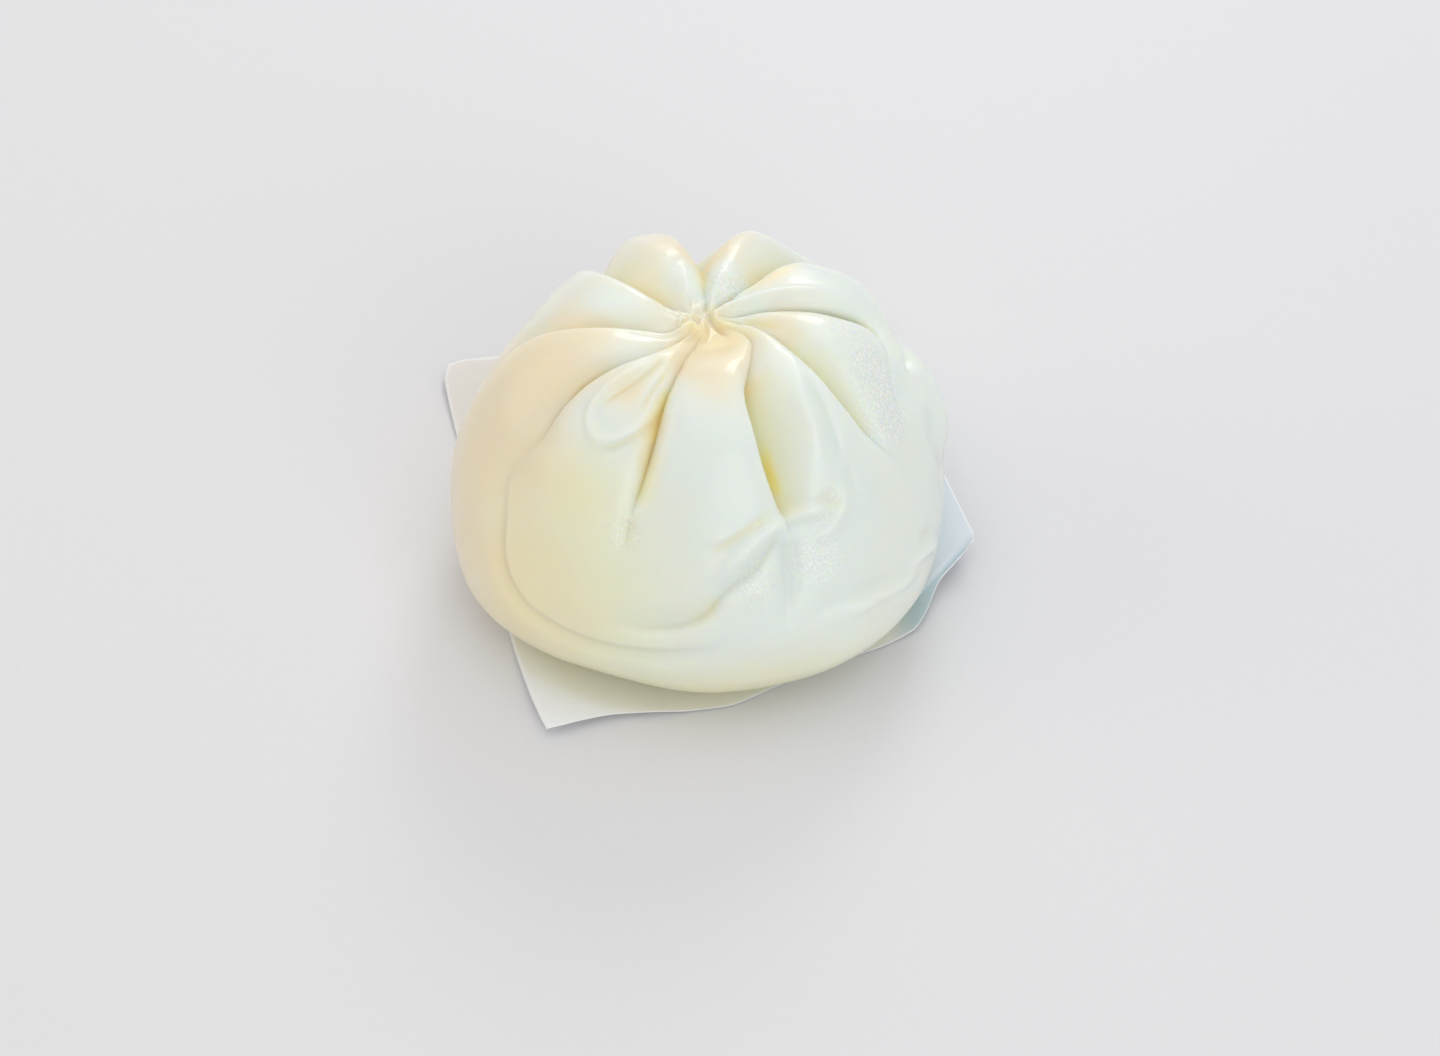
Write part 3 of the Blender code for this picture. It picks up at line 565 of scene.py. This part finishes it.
def crease_shade_and_rim_share(points, yellow):
    """How much painted yellow shade the skin takes in its creases and hollows, and how much yellower its rim
    is low down and at the low left.
    """
    across = np.roll(points, -1, 1) - np.roll(points, 1, 1)
    outward = unit(np.cross(np.gradient(points, axis=0), across))
    wide = soften(points, WIDE_ROUNDS, np.ones(points.shape[:2]))
    sunk = smooth(((wide - points) * outward).sum(-1), *SUNK_BETWEEN)
    x, z = points[..., 0], points[..., 2]
    rim = RIM_SHARE * (1 - smooth(z, *RIM_HEIGHT)) * (1 - smooth(x, *RIM_RIGHT)) * smooth(x, *RIM_LEFT)
    low = LOW_SHARE * (1 - smooth(z, *LOW_HEIGHT)) * (1 - smooth(x, *LOW_RIGHT)) * smooth(x, *LOW_LEFT)
    return np.clip(yellow + SUNK_SHARE * sunk + np.maximum(rim, low), 0, np.maximum(yellow, 1)) / DEEPEST


def pebble_and_glint_share(points):
    """Where the skin is dimpled into small cells, whose tops are painted with glints."""
    share = np.zeros(points.shape[:2])
    for azimuth, at, radius, amount in PEBBLES_AND_GLINTS:
        centre = plain_point(np.radians(azimuth), float(at))
        from_centre = np.sqrt(((points - centre) ** 2).sum(-1))
        share = np.maximum(share, amount * np.exp(-(from_centre / radius) ** 3))
    return share


def bun_mesh():
    """Closes the rows of points into one mesh, with half the columns on the crown."""
    points, yellow, stations = bun_form()
    columns = points.shape[1]
    crown = int((stations < CROWN).sum())
    thin = columns // 2

    def thinned(values):
        """Values on the grid as one list, in the order of the mesh's vertices."""
        upper, lower = values[:crown, ::2], values[crown:]
        return np.concatenate([part.reshape(-1, *values.shape[2:]) for part in (upper, lower)])

    def quads(first, rows, count):
        """Faces of closed rows of count vertices each, numbered from first."""
        i, j = np.arange(rows - 1)[:, None] * count + first, np.arange(count)[None]
        k = (j + 1) % count
        return np.stack([i + j, i + count + j, i + count + k, i + k], -1).reshape(-1, 4).tolist()

    seam = crown * thin
    faces = quads(0, crown, thin) + quads(seam, len(points) - crown, columns)
    for j in range(thin):
        k = (j + 1) % thin
        faces.append((seam - thin + j, seam + 2 * j, seam + 2 * j + 1, seam + 2 * k, seam - thin + k))
    skin = thinned(points)
    top, bottom = len(skin), len(skin) + 1
    faces += [(top, j, (j + 1) % thin) for j in range(thin)]
    last = top - columns
    faces += [(bottom, last + (j + 1) % columns, last + j) for j in range(columns)]
    vertices = np.concatenate([skin, [points[0].mean(0), points[-1].mean(0)]]) * MM
    mesh = bpy.data.meshes.new("steamed_bun")
    mesh.from_pydata(vertices.tolist(), [], faces)
    mesh.update()
    mesh.shade_smooth()
    layers = dict(crease_shade_and_rim_tint=crease_shade_and_rim_share(points, yellow), cream_and_warm_light=cream_and_warm_light_share(points), pebble_and_glint=pebble_and_glint_share(points))
    for name, values in layers.items():
        layer = mesh.attributes.new(name, "FLOAT", "POINT")
        layer.data.foreach_set("value", np.append(thinned(values), [0, 0]).astype(np.float32))
    bun = bpy.data.objects.new("steamed_bun", mesh)
    bpy.context.scene.collection.objects.link(bun)
    return bun


# ---- materials

def node(tree, kind, inputs=None, **settings):
    """One shader node with its settings and the values of its sockets."""
    made = tree.nodes.new(kind)
    for name, value in settings.items():
        setattr(made, name, value)
    for name, value in (inputs or {}).items():
        made.inputs[name].default_value = value
    return made


def math_node(tree, operation, a, b):
    """a and b are sockets or numbers."""
    made = node(tree, "ShaderNodeMath", operation=operation)
    for socket, value in zip(made.inputs, (a, b)):
        if isinstance(value, bpy.types.NodeSocket):
            tree.links.new(value, socket)
        else:
            socket.default_value = value
    return made.outputs[0]


def ramp(tree, factor, low, high, first=0.0, last=1.0):
    """Soft step of a socket from low to high, giving first to last."""
    ends = {"From Min": low, "From Max": high, "To Min": first, "To Max": last}
    made = node(tree, "ShaderNodeMapRange", ends, interpolation_type="SMOOTHSTEP")
    tree.links.new(factor, made.inputs["Value"])
    return made.outputs["Result"]


def noise(tree, coords, size_mm, detail=2.0, roughness=0.5):
    """Noise whose features are about size_mm across."""
    inputs = {"Scale": 1 / (size_mm * MM), "Detail": detail, "Roughness": roughness}
    made = node(tree, "ShaderNodeTexNoise", inputs)
    tree.links.new(coords, made.inputs["Vector"])
    return made.outputs["Fac"]


def mixed(tree, factor, first, second):
    """Colour between first and second, each a colour or a socket."""
    made = node(tree, "ShaderNodeMix", data_type="RGBA")
    tree.links.new(factor, made.inputs["Factor"])
    for socket, value in ((made.inputs[6], first), (made.inputs[7], second)):
        if isinstance(value, bpy.types.NodeSocket):
            tree.links.new(value, socket)
        else:
            socket.default_value = (*value, 1)
    return made.outputs[2]


def attribute(tree, name):
    """A value that the mesh carries at each vertex."""
    return node(tree, "ShaderNodeAttribute", attribute_name=name, attribute_type="GEOMETRY").outputs["Fac"]


def new_material(name, inputs):
    """A material with one Principled shader and the values of its sockets."""
    material = bpy.data.materials.new(name)
    material.use_nodes = True
    tree = material.node_tree
    tree.nodes.clear()
    shader = node(tree, "ShaderNodeBsdfPrincipled", inputs)
    output = node(tree, "ShaderNodeOutputMaterial")
    tree.links.new(shader.outputs[0], output.inputs["Surface"])
    return material, tree, shader


def bump(tree, shader, height, distance_mm, strength=1.0):
    """Fine relief of the surface."""
    made = node(tree, "ShaderNodeBump", {"Distance": distance_mm * MM, "Strength": strength})
    tree.links.new(height, made.inputs["Height"])
    tree.links.new(made.outputs[0], shader.inputs["Normal"])


# Dough: its skin and the painted yellow shade of its deep creases, each where whiter and where creamier
# (partly painted warm light), and the painted glints on dimpled skin.
DOUGH = (0.795, 0.85, 0.80)
DOUGH_WARM = (0.84, 0.75, 0.56)
CREASE_SHADE = (0.942, 0.78, 0.142)
CREASE_SHADE_WARM = (0.98, 0.75, 0.252)
GLINT_WHITE = (0.93, 0.96, 0.94)
# Size of the dimples, and the height of the skin's finest relief.
DIMPLE, RELIEF = 0.62, 0.16
# Paper: between its fibres and on them, under the damp bun with the bun's painted shade, in painted cool
# light, in painted warm shade at the back left corner, in painted shade where it is folded down, and with a
# painted highlight at its cut edge.
PAPER_LOW, PAPER_HIGH = (0.87, 0.88, 0.90), (0.90, 0.91, 0.925)
PAPER_DAMP_AND_SHADE, PAPER_COOL_LIGHT, PAPER_WARM_SHADE = (0.86, 0.84, 0.62), (0.72, 0.79, 0.86), (0.77, 0.735, 0.69)
PAPER_FLAP_SHADE, PAPER_CUT_HIGHLIGHT = (0.52, 0.64, 0.68), (0.93, 0.93, 0.93)
FLOOR = (0.74, 0.735, 0.75)


def dough_material():
    """Moist white dough: light sinks into it, deep creases are painted yellow with shade, and the skin has a
    satin gloss.
    """
    material, tree, shader = new_material("dough", {
        "Subsurface Weight": 0.75, "Subsurface Radius": (1.0, 0.75, 0.4), "Subsurface Scale": 0.0042,
        "Specular IOR Level": 0.45, "Coat Weight": 0.42, "Coat Roughness": 0.09, "IOR": 1.42,
    })
    coords = node(tree, "ShaderNodeTexCoord").outputs["Object"]
    crease_shade_and_rim_tint, cream_and_warm_light, pebble_and_glint = (attribute(tree, name) for name in ("crease_shade_and_rim_tint", "cream_and_warm_light", "pebble_and_glint"))
    patchy = ramp(tree, noise(tree, coords, 22, 1.0), 0.35, 0.65, -0.14, 0.14)
    # The tint is partly the dough's own and partly painted warm light and sheen.
    tint = ramp(tree, math_node(tree, "ADD", cream_and_warm_light, patchy), 0.0, 1.0)
    # Painted yellow shade in the creases and hollows, laid over the skin's tint.
    colour = mixed(tree, crease_shade_and_rim_tint, mixed(tree, tint, DOUGH, DOUGH_WARM), mixed(tree, tint, CREASE_SHADE, CREASE_SHADE_WARM))
    gloss = ramp(tree, noise(tree, coords, 9, 3.0, 0.6), 0.38, 0.62, 0.34, 0.50)
    tree.links.new(gloss, shader.inputs["Roughness"])
    inputs = {"Scale": 1 / (DIMPLE * MM), "Smoothness": 0.4}
    cells = node(tree, "ShaderNodeTexVoronoi", inputs, feature="SMOOTH_F1")
    tree.links.new(coords, cells.inputs["Vector"])
    domes = ramp(tree, cells.outputs["Distance"], 0.1, 0.75, 1.0, 0.0)
    pebbles_and_glints = math_node(tree, "MULTIPLY", domes, pebble_and_glint)
    # Painted glints: the tops of the dimples turn near white.
    colour = mixed(tree, ramp(tree, pebbles_and_glints, 0.15, 0.9, 0.0, 0.85), colour, GLINT_WHITE)
    tree.links.new(colour, shader.inputs["Base Color"])
    fine = math_node(tree, "MULTIPLY", noise(tree, coords, 0.7, 2.0), 0.10)
    broad = math_node(tree, "MULTIPLY", noise(tree, coords, 3.5, 2.0), 0.30)
    bump(tree, shader, math_node(tree, "ADD", pebbles_and_glints, math_node(tree, "ADD", fine, broad)), RELIEF)
    return material


def paper_material():
    """Thin white paper, a little yellower where the damp bun lies on it and its painted shade falls; painted
    cool light, warm shade, flap shade and cut-edge highlight besides.
    """
    material, tree, shader = new_material("paper", {
        "Roughness": 0.6, "Specular IOR Level": 0.3, "Subsurface Weight": 0.25,
        "Subsurface Radius": (1.0, 1.0, 1.0), "Subsurface Scale": 0.0006,
    })
    coords = node(tree, "ShaderNodeTexCoord").outputs["Object"]
    fibre = ramp(tree, noise(tree, coords, 1.1, 6.0, 0.7), 0.3, 0.7)
    colour = mixed(tree, fibre, PAPER_LOW, PAPER_HIGH)
    for name, other in (("damp_and_shade", PAPER_DAMP_AND_SHADE), ("cool_light", PAPER_COOL_LIGHT), ("warm_shade", PAPER_WARM_SHADE),
                        ("flap_shade", PAPER_FLAP_SHADE), ("cut_highlight", PAPER_CUT_HIGHLIGHT)):
        colour = mixed(tree, attribute(tree, name), colour, other)
    tree.links.new(colour, shader.inputs["Base Color"])
    crinkle = math_node(tree, "ADD", noise(tree, coords, 14, 2.0), math_node(tree, "MULTIPLY", fibre, 0.06))
    bump(tree, shader, crinkle, 0.25, 0.6)
    return material


def floor_material():
    """Plain pale floor with a very fine grain."""
    material, tree, shader = new_material("floor", {"Roughness": 0.62, "Specular IOR Level": 0.25})
    coords = node(tree, "ShaderNodeTexCoord").outputs["Object"]
    fine = ramp(tree, noise(tree, coords, 1.5, 4.0), 0.3, 0.7)
    lighter = tuple(c * 1.01 for c in FLOOR)
    tree.links.new(mixed(tree, fine, FLOOR, lighter), shader.inputs["Base Color"])
    return material


# ---- the paper

BACK_LEFT, FRONT_LEFT, FRONT_RIGHT, BACK_RIGHT = (-57.0, 60.0), (-30.4, -48.4), (57.2, 1.7), (36.0, 77.0)
# How far the front and left edges stand out from straight lines, along them from the left and front ends.
FRONT_BOW = (
    (0, 0), (0.117, 1.5), (0.23, 5.7), (0.343, 10.0), (0.446, 12.8), (0.587, 12.8), (0.69, 13.5),
    (0.78, 14.4), (0.845, 14.2), (0.879, 11.4), (0.90, 7.6), (0.915, 5.4), (0.949, 3.4), (0.973, 2.0),
    (1, 0),
)
LEFT_BOW = (
    (0, 0), (0.1, 1.0), (0.25, 1.7), (0.8, 1.8), (0.93, 1.5), (1, 0.4),
)
# Thickness, steps along each edge, and how much closer they are towards the front and the right.
PAPER_THICK = 0.14
PAPER_STEPS, PAPER_CLOSER = 170, 1.4
# How damp the sheet is under the bun, with the bun's painted shade, and where that ends, and the share of its
# width that is cut edge, painted with a highlight.
DAMP_AND_SHADE_SHARE, DAMP_AND_SHADE_BETWEEN, CUT_SHARE = 0.5, (43, 52), 0.0025
# The sheet lies at PAPER_REST out to FLAT_RADIUS, measured with y stretched a little. Beyond that it rises
# round these places: place, rise and radius.
PAPER_REST, PAPER_LEAST = 0.35, 0.15
FLAT_RADIUS, Y_STRETCH = 41.0, 1.06
LIFTS = ((FRONT_LEFT, 2.0, 17), ((-9, -42), 0.9, 7), (BACK_LEFT, 1.2, 16))
# Two corners are a little rounded: the corner, how far it is drawn in, and the radius of that.
ROUNDED = ((BACK_LEFT, (0.9, -0.9)), (FRONT_LEFT, (0.2, 0.6)))
ROUNDING = 2.4
# The front right corner stands up by FACET_RISE. Beyond a crease there the sheet is bent down by
# BENT_SHARE of that. The crease: a point on it, the direction square to it, where it starts and its width.
FACET_RISE, FACET_BETWEEN = 6.2, (36, 60)
BENT_SHARE, BENT_BETWEEN = 0.3, (38, 45)
CREASE_POINT, CREASE_ACROSS = (44.2, -13.2), (-0.737, 0.676)
CREASE_START, CREASE_WIDTH = 1.2, 0.7


def paper_form():
    """Middle surface of the sheet, as rows from the front edge to the back one, and where it is bent."""
    step = np.linspace(0, 1, PAPER_STEPS)
    u, v = np.meshgrid(1 - (1 - step) ** PAPER_CLOSER, step ** PAPER_CLOSER)
    a, b, c, d = (np.array(p) for p in (FRONT_LEFT, FRONT_RIGHT, BACK_LEFT, BACK_RIGHT))
    plan = (a * ((1 - u) * (1 - v))[..., None] + b * (u * (1 - v))[..., None]
            + c * ((1 - u) * v)[..., None] + d * (u * v)[..., None])
    plan[..., 1] -= eased(FRONT_BOW, u) * (1 - v) ** 1.5
    plan[..., 0] -= eased(LEFT_BOW, v) * (1 - u) ** 2
    for corner, inward in ROUNDED:
        near = np.exp(-(((plan - np.array(corner)) ** 2).sum(-1) / ROUNDING ** 2))
        plan += np.array(inward) * near[..., None]
    x, y = plan[..., 0], plan[..., 1]
    from_middle = np.hypot(x, y * Y_STRETCH)
    rise = np.zeros(u.shape)
    for place, height, radius in LIFTS:
        rise += height * np.exp(-(np.hypot(x - place[0], y - place[1]) / radius) ** 2)
    from_crease = (x - CREASE_POINT[0]) * CREASE_ACROSS[0] + (y - CREASE_POINT[1]) * CREASE_ACROSS[1]
    bent = smooth(x, *BENT_BETWEEN) * smooth(CREASE_START - from_crease, 0, CREASE_WIDTH)
    rise += FACET_RISE * smooth(x + 0.12 * y, *FACET_BETWEEN) * (1 - BENT_SHARE * bent)
    z = PAPER_REST + rise * smooth(from_middle, FLAT_RADIUS - 2, FLAT_RADIUS + 8)
    return np.stack([x, y, np.maximum(z, PAPER_LEAST)], -1), from_middle, bent, u, v


def paper_mesh():
    """The sheet with its thickness and its cut edges."""
    points, from_middle, bent, u, v = paper_form()
    rows, columns = points.shape[:2]
    i, j = np.arange(rows - 1)[:, None] * columns, np.arange(columns - 1)[None]
    quads = np.stack([i + j, i + j + 1, i + columns + j + 1, i + columns + j], -1).reshape(-1, 4)
    mesh = bpy.data.meshes.new("paper_sheet")
    mesh.from_pydata((points.reshape(-1, 3) * MM).tolist(), [], quads.tolist())
    mesh.update()
    edge = np.minimum(np.minimum(u, 1 - u), np.minimum(v, 1 - v))
    x, y = points[..., 0], points[..., 1]
    # Painted on the sheet: the bun's shade with its damp, cool light on the right, warm shade at the back
    # left, shade on the bent flap and a highlight along the cut edge.
    layers = dict(damp_and_shade=DAMP_AND_SHADE_SHARE * (1 - smooth(from_middle, *DAMP_AND_SHADE_BETWEEN)), cut_highlight=(edge < CUT_SHARE) * 1.0,
                  cool_light=smooth(x, 40, 52), flap_shade=bent,
                  warm_shade=smooth(y - 0.3 * x, 20, 60) * (1 - smooth(x, -40, -10)))
    for name, values in layers.items():
        layer = mesh.attributes.new(name, "FLOAT", "POINT")
        layer.data.foreach_set("value", values.ravel().astype(np.float32))
    paper = bpy.data.objects.new("paper_sheet", mesh)
    bpy.context.scene.collection.objects.link(paper)
    thick = paper.modifiers.new("thickness", "SOLIDIFY")
    thick.thickness = PAPER_THICK * MM
    thick.offset = 1.0
    mesh.shade_smooth()
    return paper


# ---- stage, lights and camera

# Camera: how steeply it looks down, its lens, its distance, and how far it is moved to the right and up.
ELEVATION = math.radians(46)
SENSOR, LENS = 36, 75
DISTANCE, MOVED = 628.9, (4.1927, 7.1275)
# From here on in metres. Floor: half its width and how far it lies under the paper. Lights: name, place,
# size, power and colour of each, and where they point.
FLOOR_HALF, FLOOR_DROP = 4.0, 0.00005
LIGHTS = (
    ("top", (0.0, 0.1, 0.9), 1.1, 2.4, (1, 1, 1)),
    ("left", (-0.8, 0.05, 0.45), 0.6, 1.15, (1.0, 0.93, 0.84)),
    ("front_right", (0.35, -0.72, 0.42), 0.7, 2.3, (0.97, 1.0, 1.0)),
    ("back", (0.0, 0.8, 0.35), 0.4, 0.5, (1, 1, 1)),
    ("sheen", (0.2, 0.8, 0.62), 0.34, 2.0, (0.95, 0.985, 1.0)),
)
AIM = Vector((0, 0, 0.03))
WORLD_COLOUR, WORLD_STRENGTH = (1.0, 0.995, 1.0), 0.54


def make_camera():
    """Looks down at the bun from the front."""
    camera = bpy.data.objects.new("camera", bpy.data.cameras.new("camera"))
    bpy.context.scene.collection.objects.link(camera)
    camera.data.sensor_width = SENSOR
    camera.data.lens = LENS
    camera.data.clip_start = 0.01
    forward = Vector((0, math.cos(ELEVATION), -math.sin(ELEVATION)))
    up = Vector((0, math.sin(ELEVATION), math.cos(ELEVATION)))
    aside = Vector((1, 0, 0)) * MOVED[0] + up * MOVED[1]
    camera.location = (aside - forward * DISTANCE) * MM
    camera.rotation_euler = (math.radians(90) - ELEVATION, 0, 0)
    bpy.context.scene.camera = camera


def area_light(name, place, size, power, colour):
    """A square light turned towards the bun."""
    light = bpy.data.lights.new(name, "AREA")
    light.size, light.energy, light.color = size, power, colour
    holder = bpy.data.objects.new(name, light)
    bpy.context.scene.collection.objects.link(holder)
    holder.location = place
    holder.rotation_euler = (AIM - Vector(place)).to_track_quat("-Z", "Y").to_euler()


def make_stage():
    """The floor, the lights and the pale room."""
    mesh = bpy.data.meshes.new("floor")
    corners = [(x * FLOOR_HALF, y * FLOOR_HALF, -FLOOR_DROP) for x, y in ((-1, -1), (1, -1), (1, 1), (-1, 1))]
    mesh.from_pydata(corners, [], [(0, 1, 2, 3)])
    floor = bpy.data.objects.new("floor", mesh)
    bpy.context.scene.collection.objects.link(floor)
    floor.data.materials.append(floor_material())
    for light in LIGHTS:
        area_light(*light)
    world = bpy.data.worlds.new("studio")
    bpy.context.scene.world = world
    world.use_nodes = True
    background = world.node_tree.nodes["Background"]
    background.inputs["Color"].default_value = (*WORLD_COLOUR, 1)
    background.inputs["Strength"].default_value = WORLD_STRENGTH
    bpy.context.scene.view_settings.view_transform = "Standard"


bun = bun_mesh()
bun.data.materials.append(dough_material())
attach(bun, "root")
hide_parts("bun")

paper = paper_mesh()
paper.data.materials.append(paper_material())
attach(paper, "root")
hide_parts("paper")

make_stage()
make_camera()
